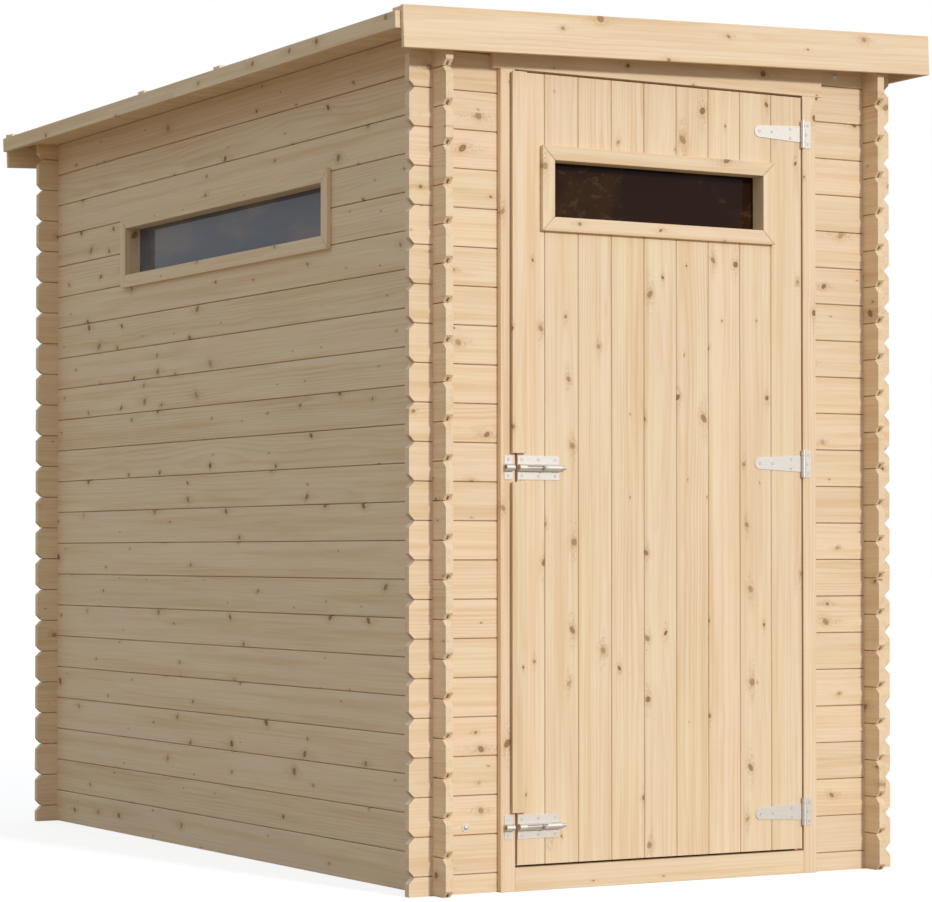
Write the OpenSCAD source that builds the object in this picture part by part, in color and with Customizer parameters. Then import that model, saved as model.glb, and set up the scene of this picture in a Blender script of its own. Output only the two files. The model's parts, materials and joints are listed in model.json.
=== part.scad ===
// Garden shed with a single-pitch roof, built from interlocking wall logs.
// +X runs to the right along the front, +Y to the rear, +Z up.
// The modules are written from the front left outer wall corner; place() then puts
// the origin under the middle of the whole shed.

/* [Walls] */
// Outer width of the walls, along X
wall_w = 1216; // [1110:1:2400]
// Outer depth of the walls, along Y
wall_d = 2227; // [1500:1:4000]
// Thickness of the wall logs
log_t = 19; // [16:1:28]
// Height that one log covers
log_pitch = 88; // [72:1:120]
// Whole logs in the low left wall
left_courses = 22; // [18:1:27]
// How much higher the right wall is, in logs
right_rise = 0.5; // [0.25:0.25:1.5]
// Length of the log ends past each corner
log_end = 60; // [40:1:66]
// Chamfer on the log ends
end_chamfer = 14; // [4:1:18]

/* [Roof] */
// Thickness of the roof boards
roof_t = 19; // [16:1:30]
// Overhang of the roof boards past the left and right walls
eave_side = 120; // [90:1:300]
// Overhang of the roof boards past the front and rear walls
eave_end = 71; // [68:1:300]
// Height of the fascia boards
fascia_h = 95; // [80:1:160]
// Thickness of the fascia boards
fascia_t = 12; // [10:1:25]
// How far the fascia boards hang below the roof boards
fascia_drop = 58; // [40:1:62]
// Height of the slat along the low edge
slat_h = 38; // [30:1:60]
// Thickness of the slat along the low edge
slat_t = 14; // [10:1:25]
// Height of the slat above the top of the roof boards
slat_lip = 5; // [2:1:12]
// Width of the battens on top of the roof
batten_w = 37; // [25:1:60]
// Thickness of the battens on top of the roof
batten_t = 16; // [10:1:18]
// Spacing of the two middle roof battens
batten_mid = 463; // [200:1:1000]
// Width of the purlins under the roof
purlin_w = 40; // [30:1:70]
// Height of the purlins under the roof
purlin_h = 44; // [30:1:48]

/* [Doorway] */
// Distance from the left wall corner to the door opening
door_left = 205; // [170:1:700]
// Width of the opening between the posts
opening_w = 801; // [500:1:820]
// Height of the sill
sill_h = 54; // [30:1:90]
// Distance from the low eave down to the top of the opening
head_drop = 76; // [74:1:200]
// Width of the door posts
post_w = 38; // [30:1:60]
// How far the frame stands out from the front wall
frame_proud = 15; // [10:1:25]
// How far the frame stands into the shed
frame_inside = 15; // [10:1:25]
// Depth of the groove that holds the log ends
groove_d = 10; // [6:1:15]
// Height of the head above the opening
head_h = 28; // [20:1:28]
// Width of the door stop beside and above the door
stop_w = 12; // [8:1:20]
// Height of the trim board above the door
lintel_h = 76; // [50:1:76]
// How far the trim board runs past the posts
lintel_past = 19; // [0:1:40]

/* [Door] */
// Gap around the door
door_gap = 5.5; // [5:0.5:8]
// Thickness of the door boards
leaf_t = 18; // [14:1:22]
// Height of the ledges on the back of the door
ledge_h = 90; // [60:1:120]
// Thickness of the ledges and the brace
ledge_t = 18; // [12:1:28]
// Width of the diagonal brace
brace_w = 80; // [50:1:110]
// Width of the strip that covers the gap on the bolt side
cover_w = 37; // [25:1:50]
// Thickness of the cover strip
cover_t = 12; // [9:1:20]
// How far the cover strip laps over the post
cover_lap = 13; // [2:1:20]

/* [Windows] */
// Clear length of the side window
side_glass_l = 1169; // [400:1:1250]
// Clear height of the side window
side_glass_h = 127; // [80:1:400]
// Distance from the low eave down to the side window
side_glass_drop = 289; // [150:1:700]
// Width of the door between its bolt edge and the clear window
door_glass_left = 94; // [80:1:140]
// Width of the door between the clear window and its hinge edge
door_glass_right = 117; // [80:1:140]
// Clear height of the door window
door_glass_h = 129; // [80:1:300]
// Distance from the top of the door down to its window
door_glass_drop = 196; // [185:1:400]
// Thickness of the lining boards around the glass
lining_t = 16; // [10:1:20]
// Depth of the linings behind the outer trim
lining_d = 38; // [36:1:60]
// Width of the window trim
trim_w = 33; // [25:1:60]
// Thickness of the window trim
trim_t = 12; // [8:1:20]
// Thickness of the glass
glass_t = 4; // [3:1:6]
// Depth from the outer wall face to the glass
glass_depth = 32; // [30:1:34]

/* [Hinges] */
// Length of the hinge strap from the pin to its tip
strap_l = 138; // [80:1:200]
// Height of the strap at the pin
strap_root = 40; // [30:1:50]
// Height of the strap at its round tip
strap_tip = 28; // [16:1:30]
// Height of the hinge plate on the post
plate_h = 65; // [55:1:90]
// Reach of the hinge plate from the pin
plate_reach = 25; // [20:1:38]
// Sheet thickness of the hinges and bolts
sheet_t = 2; // [1.5:0.1:3]
// Outer radius of the hinge knuckle
knuckle_r = 5.5; // [5:0.1:7]
// Radius of the hinge pin
pin_r = 2.5; // [2:0.1:3]
// Distance of the outer hinges from the ends of the door
hinge_inset = 88; // [60:1:200]
// Height of the middle hinge above the middle of the door
hinge_mid_rise = 20; // [0:1:100]

/* [Bolts] */
// Length of the bolt case
case_l = 110; // [100:1:160]
// Height of the bolt plates
case_h = 54; // [40:1:70]
// Radius of the bolt rod
rod_r = 5; // [4:0.1:6]
// Length of the bolt rod
rod_l = 120; // [110:1:140]
// Travel of the bolt rod
bolt_travel = 40; // [30:1:45]
// Outer radius of the round bolt case
case_r = 8; // [7.5:0.1:9]
// Width of the keeper on the post
keeper_w = 21; // [18:1:25]
// Distance from the bottom of the door to the lower bolt
bolt_inset = 86; // [60:1:200]

/* [Bracing] */
// Distance from each wall corner to the storm brace
brace_in = 90; // [60:1:100]
// Width of the storm braces
storm_w = 45; // [30:1:60]
// Thickness of the storm braces
storm_t = 28; // [18:1:45]
// Gap above and below the storm braces
storm_gap = 40; // [20:1:100]

/* [Hidden] */

$fn = 48;
over = 1; // how far cutters run past the faces they cut

pine = "burlywood";
shade_pine = "tan";
zinc = "silver";
brown_glass = "saddlebrown";
grey_glass = "slategray";

// walls and roof line
left_h = left_courses * log_pitch;
roof_slope = right_rise * log_pitch / wall_w;
roof_angle = atan(roof_slope);
courses_all = left_courses + ceil(right_rise) + 1;

// roof frame: x along the slope from the left wall, z square to the boards
roof_left = -eave_side;
roof_right = wall_w + eave_side;
roof_front = -eave_end;
roof_rear = wall_d + eave_end;
slat_top = roof_t + slat_lip;

// doorway
opening_right = door_left + opening_w;
head_z = left_h - head_drop;
frame_rear = log_t + frame_inside;
slot_left = door_left - post_w + groove_d;
slot_right = opening_right + post_w - groove_d;
leaf_x = door_left + door_gap;
leaf_w = opening_w - 2 * door_gap;
leaf_z = sill_h + door_gap;
leaf_h = head_z - sill_h - 2 * door_gap;
leaf_top = leaf_z + leaf_h;
leaf_back = leaf_t - frame_proud;
stop_y = leaf_back + door_gap;
ledge_x = door_left + stop_w + door_gap;
ledge_w = opening_w - 2 * (stop_w + door_gap);

// hinges: the pin stands over the gap beside the right post
hinge_x = opening_right - door_gap / 2;
knuckle_clear = 0.5;
hinge_y = -frame_proud - knuckle_r - knuckle_clear;
pin_clear = 0.05;
knuckle_gap = 0.5;
hinge_levels = [
    leaf_z + hinge_inset,
    leaf_z + leaf_h / 2 + hinge_mid_rise,
    leaf_top - hinge_inset
];

// bolts
rod_y = -frame_proud - case_r;
rod_clear = 0.08;
keeper_clear = 0.6;
keeper_gap = 8;
rod_tip = 3;
knob_r = 3.5;
knob_l = 20;
knob_x = rod_tip + bolt_travel + 20;
slot_clear = 1;
bolt_levels = [leaf_z + bolt_inset, leaf_z + leaf_h / 2];
cover_end_gap = 5.5;

// windows: centre height and length of each clear opening
side_glass_z = left_h - side_glass_drop - side_glass_h / 2;
side_glass_y = wall_d / 2;
door_glass_z = leaf_top - door_glass_drop - door_glass_h / 2;
door_glass_w = leaf_w - door_glass_left - door_glass_right;
door_glass_x = leaf_x + door_glass_left + door_glass_w / 2;
inner_trim_w = trim_w - lining_t;

// the origin stands under the middle of the outer box
box_left = roof_left - slat_t;
box_min_x = box_left * cos(roof_angle) - slat_top * sin(roof_angle);
box_max_x = roof_right * cos(roof_angle) + fascia_drop * sin(roof_angle);
origin_x = (box_min_x + box_max_x) / 2;
origin_y = wall_d / 2;

function joint_z(first, j) = (first + j) * log_pitch;

// One end of a log wall, from the ground up, as [inset from the end, height]
function end_profile(first) = concat(
    first == 1 ? [[end_chamfer, 0], [0, end_chamfer]] : [[0, 0]],
    [for (j = [0 : courses_all]) each [
        [0, joint_z(first, j) - end_chamfer],
        [end_chamfer, joint_z(first, j)],
        [0, joint_z(first, j) + end_chamfer]
    ]]
);

function reversed(list) = [for (i = [len(list) - 1 : -1 : 0]) list[i]];

module place() {
    translate([-origin_x, -origin_y, 0]) children();
}

// Frame of the roof: its xy plane is the underside of the roof boards
module on_roof() {
    translate([0, 0, left_h]) rotate([0, -roof_angle, 0]) children();
}

// From a drawing in [x, z] to a slab whose faces stand at y and y + t
module upright(y, t) {
    translate([0, y + t, 0]) rotate([90, 0, 0]) linear_extrude(t) children();
}

// Face of a log wall; first is the height of its lowest joint, in logs
module log_face(length, first) {
    ends = end_profile(first);
    difference() {
        polygon(concat(
            [for (p = ends) [length + log_end - p[0], p[1]]],
            [for (p = reversed(ends)) [p[0] - log_end, p[1]]]
        ));
        // half of every crossing belongs to the other wall
        for (u = [0, length - log_t])
            for (k = [-1 : courses_all])
                translate([u, (k + first - 0.25) * log_pitch]) square([log_t, log_pitch / 2]);
    }
}

// Everything that lies below the roof boards
module below_roof() {
    on_roof()
        translate([roof_left, roof_front, -2 * left_h])
            cube([roof_right - roof_left, roof_rear - roof_front, 2 * left_h]);
}

module cross_wall(y) {
    difference() {
        intersection() {
            upright(y, log_t) log_face(wall_w, 0.5);
            below_roof();
        }
        purlin_bars();
    }
}

module side_wall(x) {
    intersection() {
        translate([x, 0, 0]) rotate([90, 0, 90]) linear_extrude(log_t) log_face(wall_d, 1);
        below_roof();
    }
}

module front_wall_part(x, z, w) {
    intersection() {
        cross_wall(0);
        translate([x, 0, z]) cube([w, log_t, left_h + log_pitch * (right_rise + 1)]);
    }
}

// Rectangle with its middle at the origin of the drawing
module frame_face(w, h, border) {
    difference() {
        square([w + 2 * border, h + 2 * border], center = true);
        square([w, h], center = true);
    }
}

module left_wall() {
    color(shade_pine) difference() {
        side_wall(0);
        translate([-over, side_glass_y - side_glass_l / 2 - lining_t, side_glass_z - side_glass_h / 2 - lining_t])
            cube([log_t + 2 * over, side_glass_l + 2 * lining_t, side_glass_h + 2 * lining_t]);
    }
}

module right_wall() {
    color(shade_pine) side_wall(wall_w - log_t);
}

module rear_wall() {
    color(pine) cross_wall(wall_d - log_t);
}

module front_wall_left() {
    color(pine) front_wall_part(-log_end, 0, log_end + slot_left);
}

module front_wall_right() {
    color(pine) front_wall_part(slot_right, 0, wall_w + log_end - slot_right);
}

module front_wall_top() {
    color(pine) front_wall_part(slot_left, head_z + head_h, slot_right - slot_left);
}

module storm_braces() {
    color(pine)
        for (x = [brace_in, wall_w - brace_in])
            translate([x - storm_w / 2, log_t, storm_gap])
                cube([storm_w, storm_t, left_h - 2 * storm_gap]);
}

module purlin_bars() {
    on_roof()
        for (share = [1 / 3, 2 / 3])
            translate([wall_w * share - purlin_w / 2, roof_front, -purlin_h])
                cube([purlin_w, roof_rear - roof_front, purlin_h]);
}

module purlins() {
    color(shade_pine) purlin_bars();
}

module roof_boards() {
    color(shade_pine) on_roof()
        translate([roof_left, roof_front, 0])
            cube([roof_right - fascia_t - roof_left, roof_rear - roof_front, roof_t]);
}

module end_fascia(y) {
    color(pine) on_roof()
        translate([roof_left, y, -fascia_drop]) cube([roof_right - roof_left, fascia_t, fascia_h]);
}

module front_fascia() {
    end_fascia(roof_front - fascia_t);
}

module rear_fascia() {
    end_fascia(roof_rear);
}

module right_fascia() {
    color(pine) on_roof()
        translate([roof_right - fascia_t, roof_front, -fascia_drop])
            cube([fascia_t, roof_rear - roof_front, fascia_h]);
}

module left_slat(y_from, y_to) {
    color(pine) on_roof()
        translate([roof_left - slat_t, y_from, slat_top - slat_h]) cube([slat_t, y_to - y_from, slat_h]);
}

module left_slat_front() {
    left_slat(roof_front, wall_d / 2);
}

module left_slat_rear() {
    left_slat(wall_d / 2, roof_rear);
}

module roof_battens() {
    middle = wall_d / 2;
    color(pine) on_roof()
        for (y = [roof_front + batten_w / 2, middle - batten_mid / 2,
                  middle + batten_mid / 2, roof_rear - batten_w / 2])
            translate([roof_left, y - batten_w / 2, roof_t])
                cube([roof_right - fascia_t - roof_left, batten_w, batten_t]);
}

// Plan of a post; the opening is on its +x side
module post_plan() {
    polygon([
        [-post_w, -frame_proud], [0, -frame_proud], [0, stop_y], [stop_w, stop_y],
        [stop_w, frame_rear], [-post_w, frame_rear], [-post_w, log_t],
        [groove_d - post_w, log_t], [groove_d - post_w, 0], [-post_w, 0]
    ]);
}

module door_post_left() {
    color(pine) translate([door_left, 0, 0]) linear_extrude(head_z) post_plan();
}

module door_post_right() {
    color(pine) translate([opening_right, 0, 0]) linear_extrude(head_z) mirror([1, 0]) post_plan();
}

module door_head() {
    color(pine) {
        translate([slot_left, 0, head_z]) cube([slot_right - slot_left, frame_rear, head_h]);
        translate([door_left + stop_w, stop_y, head_z - stop_w])
            cube([opening_w - 2 * stop_w, frame_rear - stop_y, stop_w]);
    }
}

module door_sill() {
    color(pine) {
        translate([door_left, -frame_proud, 0]) cube([opening_w, frame_proud + stop_y, sill_h]);
        translate([door_left + stop_w, stop_y, 0])
            cube([opening_w - 2 * stop_w, frame_rear - stop_y, sill_h]);
    }
}

module door_lintel_trim() {
    reach = post_w + lintel_past;
    color(pine) difference() {
        translate([door_left - reach, -frame_proud, head_z])
            cube([opening_w + 2 * reach, frame_proud, lintel_h]);
        purlin_bars();
    }
}

module door_boards() {
    color(pine) difference() {
        translate([leaf_x, -frame_proud, leaf_z]) cube([leaf_w, leaf_t, leaf_h]);
        translate([door_glass_x, 0, door_glass_z])
            upright(-frame_proud - over, leaf_t + 2 * over)
                square([door_glass_w + 2 * lining_t, door_glass_h + 2 * lining_t], center = true);
    }
}

module door_ledges() {
    color(pine)
        for (z = hinge_levels)
            translate([ledge_x, leaf_back, z - ledge_h / 2]) cube([ledge_w, ledge_t, ledge_h]);
}

// Runs up from the hinge side of the lower ledge to the bolt side of the middle one
module door_brace() {
    z_low = hinge_levels[0] + ledge_h / 2;
    z_high = hinge_levels[1] - ledge_h / 2;
    x_low = ledge_x + ledge_w - brace_w;
    color(pine) upright(leaf_back, ledge_t)
        polygon([
            [x_low, z_low], [x_low + brace_w, z_low],
            [ledge_x + brace_w, z_high], [ledge_x, z_high]
        ]);
}

module at_door_window() {
    translate([door_glass_x, 0, door_glass_z]) children();
}

module door_window_lining() {
    color(pine) at_door_window()
        upright(-frame_proud, lining_d) frame_face(door_glass_w, door_glass_h, lining_t);
}

module door_window_trim_outer() {
    color(pine) at_door_window()
        upright(-frame_proud - trim_t, trim_t) frame_face(door_glass_w, door_glass_h, trim_w);
}

module door_window_trim_inner() {
    color(pine) at_door_window()
        upright(leaf_back, trim_t)
            frame_face(door_glass_w + 2 * lining_t, door_glass_h + 2 * lining_t, inner_trim_w);
}

module door_glass() {
    color(brown_glass) at_door_window()
        upright(glass_depth - frame_proud, glass_t)
            square([door_glass_w, door_glass_h], center = true);
}

// Strip on the edge of the door, whose front lip laps over the post
module cover_strip(z_from, z_to) {
    face = -frame_proud;
    lip_x = door_left - cover_lap;
    color(pine) translate([0, 0, z_from]) linear_extrude(z_to - z_from)
        polygon([
            [lip_x, face - cover_t], [lip_x + cover_w, face - cover_t], [lip_x + cover_w, face],
            [leaf_x, face], [leaf_x, face - door_gap], [lip_x, face - door_gap]
        ]);
}

module cover_strip_upper() {
    cover_strip(bolt_levels[1] + case_h / 2 + cover_end_gap, leaf_top);
}

module cover_strip_lower() {
    cover_strip(bolt_levels[0] + case_h / 2 + cover_end_gap, bolt_levels[1] - case_h / 2 - cover_end_gap);
}

module at_hinge(z) {
    translate([hinge_x, hinge_y, z]) children();
}

// Moving half of a T hinge: tapered strap and its knuckle
module hinge_strap(z) {
    face = knuckle_r + knuckle_clear;
    tip_r = strap_tip / 2;
    color(zinc) at_hinge(z) difference() {
        union() {
            upright(face - sheet_t, sheet_t) {
                polygon([
                    [0, -strap_root / 2 + knuckle_gap], [0, strap_root / 2 - knuckle_gap],
                    [tip_r - strap_l, tip_r], [tip_r - strap_l, -tip_r]
                ]);
                translate([tip_r - strap_l, 0]) circle(r = tip_r);
            }
            cylinder(r = knuckle_r, h = strap_root - 2 * knuckle_gap, center = true);
        }
        cylinder(r = pin_r + pin_clear, h = strap_root + over, center = true);
    }
}

// Fixed half of a T hinge: plate on the post, outer knuckles and the pin
module hinge_plate(z) {
    face = knuckle_r + knuckle_clear;
    room = face + knuckle_gap;
    color(zinc) at_hinge(z) {
        difference() {
            union() {
                translate([0, face - sheet_t, -plate_h / 2]) cube([plate_reach, sheet_t, plate_h]);
                cylinder(r = knuckle_r, h = plate_h, center = true);
            }
            translate([-room, -room, -strap_root / 2]) cube([2 * room, 2 * room, strap_root]);
        }
        cylinder(r = pin_r, h = plate_h, center = true);
    }
}

module hinge_strap_bottom() { hinge_strap(hinge_levels[0]); }
module hinge_strap_middle() { hinge_strap(hinge_levels[1]); }
module hinge_strap_top() { hinge_strap(hinge_levels[2]); }
module hinge_plate_bottom() { hinge_plate(hinge_levels[0]); }
module hinge_plate_middle() { hinge_plate(hinge_levels[1]); }
module hinge_plate_top() { hinge_plate(hinge_levels[2]); }

// Screwed plate with a round case along it; x starts at the plate's left edge
module cased_plate(length, bore_r) {
    difference() {
        union() {
            translate([0, case_r - sheet_t, -case_h / 2]) cube([length, sheet_t, case_h]);
            rotate([0, 90, 0]) cylinder(r = case_r, h = length);
        }
        translate([-over, 0, 0]) rotate([0, 90, 0]) cylinder(r = bore_r, h = length + 2 * over);
    }
}

module bolt_case(z) {
    slot_from = knob_x - bolt_travel - knob_r - slot_clear;
    slot_to = knob_x + knob_r + 5 * slot_clear;
    slot_half = knob_r + slot_clear;
    color(zinc) translate([leaf_x, rod_y, z]) difference() {
        cased_plate(case_l, rod_r + rod_clear);
        translate([slot_from, -case_r - over, -slot_half])
            cube([slot_to - slot_from, case_r + over, 2 * slot_half]);
    }
}

module bolt_rod(z) {
    color(zinc) translate([leaf_x, rod_y, z]) {
        translate([rod_tip, 0, 0]) rotate([0, 90, 0]) cylinder(r = rod_r, h = rod_l);
        translate([knob_x, 0, 0]) rotate([90, 0, 0]) cylinder(r = knob_r, h = knob_l);
    }
}

module bolt_keeper(z) {
    color(zinc) translate([door_left - keeper_gap - keeper_w, rod_y, z])
        cased_plate(keeper_w, rod_r + keeper_clear);
}

module bolt_case_lower() { bolt_case(bolt_levels[0]); }
module bolt_case_upper() { bolt_case(bolt_levels[1]); }
module bolt_rod_lower() { bolt_rod(bolt_levels[0]); }
module bolt_rod_upper() { bolt_rod(bolt_levels[1]); }
module bolt_keeper_lower() { bolt_keeper(bolt_levels[0]); }
module bolt_keeper_upper() { bolt_keeper(bolt_levels[1]); }

// From a drawing in [y, z] about the side window's middle to a slab from x to x + t
module at_side_window(x, t) {
    translate([x, side_glass_y, side_glass_z]) rotate([90, 0, 90]) linear_extrude(t) children();
}

module side_window_lining() {
    color(pine) at_side_window(0, lining_d) frame_face(side_glass_l, side_glass_h, lining_t);
}

module side_window_trim_outer() {
    color(shade_pine) at_side_window(-trim_t, trim_t) frame_face(side_glass_l, side_glass_h, trim_w);
}

module side_window_trim_inner() {
    color(pine) at_side_window(log_t, trim_t)
        frame_face(side_glass_l + 2 * lining_t, side_glass_h + 2 * lining_t, inner_trim_w);
}

module side_window_glass() {
    color(grey_glass) at_side_window(glass_depth, glass_t) square([side_glass_l, side_glass_h], center = true);
}

place() {
    left_wall();
    right_wall();
    rear_wall();
    front_wall_left();
    front_wall_right();
    front_wall_top();
    storm_braces();
    purlins();
    roof_boards();
    front_fascia();
    rear_fascia();
    right_fascia();
    left_slat_front();
    left_slat_rear();
    roof_battens();
    door_post_left();
    door_post_right();
    door_head();
    door_sill();
    door_lintel_trim();
    door_boards();
    door_ledges();
    door_brace();
    door_window_lining();
    door_window_trim_outer();
    door_window_trim_inner();
    door_glass();
    cover_strip_upper();
    cover_strip_lower();
    hinge_strap_top();
    hinge_strap_middle();
    hinge_strap_bottom();
    hinge_plate_top();
    hinge_plate_middle();
    hinge_plate_bottom();
    bolt_case_upper();
    bolt_case_lower();
    bolt_rod_upper();
    bolt_rod_lower();
    bolt_keeper_upper();
    bolt_keeper_lower();
    side_window_lining();
    side_window_trim_outer();
    side_window_trim_inner();
    side_window_glass();
}
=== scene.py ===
import json
import math

import bmesh
import bpy
import numpy as np
from mathutils import Matrix, Vector

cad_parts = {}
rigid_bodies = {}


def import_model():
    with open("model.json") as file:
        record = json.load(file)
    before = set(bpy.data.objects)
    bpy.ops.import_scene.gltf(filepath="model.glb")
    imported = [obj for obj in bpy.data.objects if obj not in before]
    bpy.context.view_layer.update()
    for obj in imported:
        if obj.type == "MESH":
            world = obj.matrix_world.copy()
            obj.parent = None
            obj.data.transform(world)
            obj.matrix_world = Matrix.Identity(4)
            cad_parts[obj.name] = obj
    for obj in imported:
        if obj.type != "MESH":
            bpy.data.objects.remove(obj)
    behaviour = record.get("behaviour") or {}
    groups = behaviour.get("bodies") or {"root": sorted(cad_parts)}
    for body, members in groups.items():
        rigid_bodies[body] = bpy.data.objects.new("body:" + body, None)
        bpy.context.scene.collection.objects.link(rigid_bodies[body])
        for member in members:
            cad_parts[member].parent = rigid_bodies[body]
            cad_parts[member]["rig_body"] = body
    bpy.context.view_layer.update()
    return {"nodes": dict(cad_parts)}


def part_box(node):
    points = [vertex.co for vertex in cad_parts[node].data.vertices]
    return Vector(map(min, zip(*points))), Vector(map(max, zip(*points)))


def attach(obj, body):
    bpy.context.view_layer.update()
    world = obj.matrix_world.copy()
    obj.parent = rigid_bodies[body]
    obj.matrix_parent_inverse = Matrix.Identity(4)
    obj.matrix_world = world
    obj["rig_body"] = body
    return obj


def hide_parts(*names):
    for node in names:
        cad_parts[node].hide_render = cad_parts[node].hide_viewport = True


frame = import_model()
print("frame loaded:", len(frame["nodes"]), "nodes")

# The camera stands low, in front and to the left
camera = {
    "place": (-3.8802, -7.0004, 0.7616),
    "turn": 29.75,
    "tilt": 1.08,
    "lens": 116.69,
    "rise": 0.0494,
}
cameraData = bpy.data.cameras.new("camera")
cameraData.lens = camera["lens"]
cameraData.shift_y = camera["rise"]
cameraObject = bpy.data.objects.new("camera", cameraData)
cameraObject.location = camera["place"]
cameraObject.rotation_euler = (math.radians(90 + camera["tilt"]), 0, math.radians(-camera["turn"]))
bpy.context.scene.collection.objects.link(cameraObject)
bpy.context.scene.camera = cameraObject

# Places that everything else is worked out from
leftLow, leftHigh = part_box("left_wall")
rightLow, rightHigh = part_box("right_wall")
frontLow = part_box("front_wall_left")[0]
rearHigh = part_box("rear_wall")[1]
logThick = leftHigh.x - leftLow.x
logEnd = leftLow.x - frontLow.x
wallWidth = rightHigh.x - leftLow.x
wallDepth = rearHigh.y - frontLow.y
corner = Vector((leftLow.x, frontLow.y, 0))
roofSlope = (rightHigh.z - leftHigh.z) / (wallWidth - logThick)
roofAngle = math.atan(roofSlope)
eaveHeight = leftHigh.z - logThick * roofSlope
roofPoint = Vector((corner.x, corner.y, eaveHeight))
roofNormal = Vector((-math.sin(roofAngle), 0, math.cos(roofAngle)))
roofFrame = Matrix.Translation(roofPoint) @ Matrix.Rotation(-roofAngle, 4, "Y")


def tint(code):
    # a colour as red, green and blue in linear light, from its usual hex code
    parts = [int(code[i : i + 2], 16) / 255 for i in (0, 2, 4)]
    return tuple(p / 12.92 if p <= 0.04045 else ((p + 0.055) / 1.055) ** 2.4 for p in parts) + (1.0,)


class Field:
    # an output socket, with arithmetic that adds Math nodes
    def __init__(self, maker, node, output=0):
        self.maker, self.node = maker, node
        self.socket = node.outputs[output] if len(node.outputs) else None

    def out(self, output):
        return Field(self.maker, self.node, output)

    def math(self, operation, *others):
        return self.maker.add("ShaderNodeMath", {"operation": operation}, [self, *others])

    def __add__(self, other):
        return self.math("ADD", other)

    def __sub__(self, other):
        return self.math("SUBTRACT", other)

    def __rsub__(self, other):
        return self.maker.add("ShaderNodeMath", {"operation": "SUBTRACT"}, [other, self])

    def __mul__(self, other):
        return self.math("MULTIPLY", other)

    def __truediv__(self, other):
        return self.math("DIVIDE", other)

    def __pow__(self, other):
        return self.math("POWER", other)

    __radd__, __rmul__ = __add__, __mul__


class NodeMaker:
    # adds any node: its settings first, then the values or links of its sockets
    def __init__(self, tree):
        self.tree = tree

    def add(self, kind, settings=None, inputs=None, output=0):
        node = self.tree.nodes.new(kind)
        for key, value in (settings or {}).items():
            if key == "stops":
                self.setStops(node.color_ramp, value)
            else:
                setattr(node, key, value)
        pairs = inputs.items() if isinstance(inputs, dict) else enumerate(inputs or [])
        for key, value in pairs:
            if isinstance(value, Field):
                self.tree.links.new(value.socket, node.inputs[key])
            else:
                node.inputs[key].default_value = value
        return Field(self, node, output)

    def setStops(self, ramp, stops):
        while len(ramp.elements) < len(stops):
            ramp.elements.new(1.0)
        for element, (place, grey) in zip(ramp.elements, stops):
            element.position = place
            element.color = (grey, grey, grey, 1.0)


class Shader(NodeMaker):
    # the nodes of a material, or of the world
    def __init__(self, name, kind=bpy.data.materials):
        self.owner = kind.new(name)
        self.owner.use_nodes = True
        super().__init__(self.owner.node_tree)
        self.tree.nodes.clear()

    def mix(self, share, first, second):
        return self.add("ShaderNodeMix", {"data_type": "RGBA"}, {0: share, 6: first, 7: second}, 2)

    def vector(self, x, y, z):
        return self.add("ShaderNodeCombineXYZ", None, [x, y, z])

    def split(self, vector):
        parts = self.add("ShaderNodeSeparateXYZ", None, [vector])
        return parts, parts.out(1), parts.out(2)

    def vectorMath(self, operation, *values):
        return self.add("ShaderNodeVectorMath", {"operation": operation}, values)

    def noise(self, vector, scale, detail=2.0, roughness=0.5):
        inputs = {"Vector": vector, "Scale": scale, "Detail": detail, "Roughness": roughness}
        return self.add("ShaderNodeTexNoise", None, inputs)

    def ramp(self, value, stops):
        return self.add("ShaderNodeValToRGB", {"stops": stops}, [value])

    def smooth(self, value, low, high):
        settings = {"interpolation_type": "SMOOTHSTEP"}
        return self.add("ShaderNodeMapRange", settings, {0: value, 1: low, 2: high, 3: 0.0, 4: 1.0})

    def objectPlace(self):
        return self.add("ShaderNodeTexCoord", None, None, "Object")

    def surface(self, **inputs):
        skin = self.add("ShaderNodeBsdfPrincipled", None, {k.replace("_", " "): v for k, v in inputs.items()})
        self.add("ShaderNodeOutputMaterial", None, [skin])
        return self.owner


class GeometryTree(NodeMaker):
    # a Geometry Nodes tree with named inputs, which ends in one plain mesh with one material
    def __init__(self, name, sockets):
        super().__init__(bpy.data.node_groups.new(name, "GeometryNodeTree"))
        face = self.tree.interface
        for label, kind in sockets.items():
            face.new_socket(label, in_out="INPUT", socket_type="NodeSocket" + kind)
        face.new_socket("Geometry", in_out="OUTPUT", socket_type="NodeSocketGeometry")
        self.inputNode = self.tree.nodes.new("NodeGroupInput")

    def given(self, label):
        return Field(self, self.inputNode, label)

    def finish(self, instances, material):
        real = self.add("GeometryNodeRealizeInstances", None, [instances])
        dressed = self.add("GeometryNodeSetMaterial", None, {"Geometry": real, "Material": material})
        self.add("NodeGroupOutput", None, [dressed])
        return self.tree


pine = {
    "early": tint("EDD7B3"),
    "late": tint("D6AE7A"),
    "pink": tint("EBD0B4"),
    "knotRim": tint("6B4A2F"),
    "knotHeart": tint("B08658"),
    "halo": tint("D4A873"),
    "smudge": tint("A98A66"),
    "ringGap": 0.0064,
    "ringPlay": 0.1,  # how far the pith may lie to either side of a board's middle
    "pithDeep": 0.03,  # least depth of the pith behind the middle
    "knotEvery": 0.17,
    "knotAcross": 0.062,
    "knotShare": 0.55,
    "knotSmall": 0.0016,
    "knotGrowth": 0.0074,
    "fibre": 300.0,
    "streak": 46.0,
}
grainAxes = {"X": (0, 2, 1), "Y": (1, 2, 0), "Z": (2, 0, 1)}


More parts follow.
